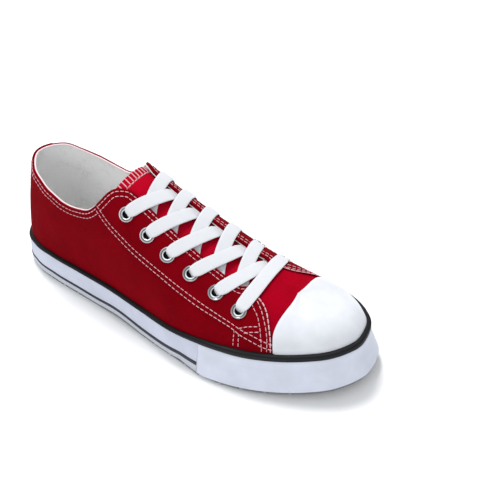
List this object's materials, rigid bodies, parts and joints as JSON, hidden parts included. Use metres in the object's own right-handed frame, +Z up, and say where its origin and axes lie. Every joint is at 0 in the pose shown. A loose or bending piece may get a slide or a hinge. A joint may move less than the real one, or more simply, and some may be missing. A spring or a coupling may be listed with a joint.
{
  "type": "canvas sneaker",
  "caption": "Low canvas lace-up sneaker, right foot: hollow red canvas upper, rubber toe cap and foxing, metal eyelets, flat laces and an outsole with cut grooves.",
  "frame": {"origin": "middle of the bounding box in plan, on the ground", "axes": "+X to the toe, +Y to the medial side, +Z up"},
  "size_m": [0.2752, 0.0978, 0.0967],
  "materials": {
    "canvas": "plain woven cotton canvas, dark red",
    "canvas_tongue": "plain woven cotton canvas, bright red",
    "lining": "light grey cotton",
    "foxing_rubber": "white rubber with a fine lengthwise grain",
    "stripe_rubber": "black rubber",
    "toe_cap_rubber": "smooth white rubber",
    "outsole_rubber": "moulded grey rubber",
    "eyelet_metal": "polished",
    "lace_cotton": "flat woven white cotton"
  },
  "bodies": {
    "root": {"upper": "canvas", "tongue": "canvas_tongue", "insole": "lining", "outsole": "outsole_rubber", "foxing": "foxing_rubber", "toe_bumper": "foxing_rubber", "foxing_stripe": "stripe_rubber", "toe_cap": "toe_cap_rubber", "eyelet_lateral_1": "eyelet_metal", "eyelet_lateral_2": "eyelet_metal", "eyelet_lateral_3": "eyelet_metal", "eyelet_lateral_4": "eyelet_metal", "eyelet_lateral_5": "eyelet_metal", "eyelet_lateral_6": "eyelet_metal", "eyelet_medial_1": "eyelet_metal", "eyelet_medial_2": "eyelet_metal", "eyelet_medial_3": "eyelet_metal", "eyelet_medial_4": "eyelet_metal", "eyelet_medial_5": "eyelet_metal", "eyelet_medial_6": "eyelet_metal", "vent_eyelet_1": "eyelet_metal", "vent_eyelet_2": "eyelet_metal", "lace_crossing_1": "lace_cotton", "lace_crossing_2": "lace_cotton", "lace_crossing_3": "lace_cotton", "lace_crossing_4": "lace_cotton", "lace_crossing_5": "lace_cotton", "lace_bar": "lace_cotton"}
  },
  "joints": []
}
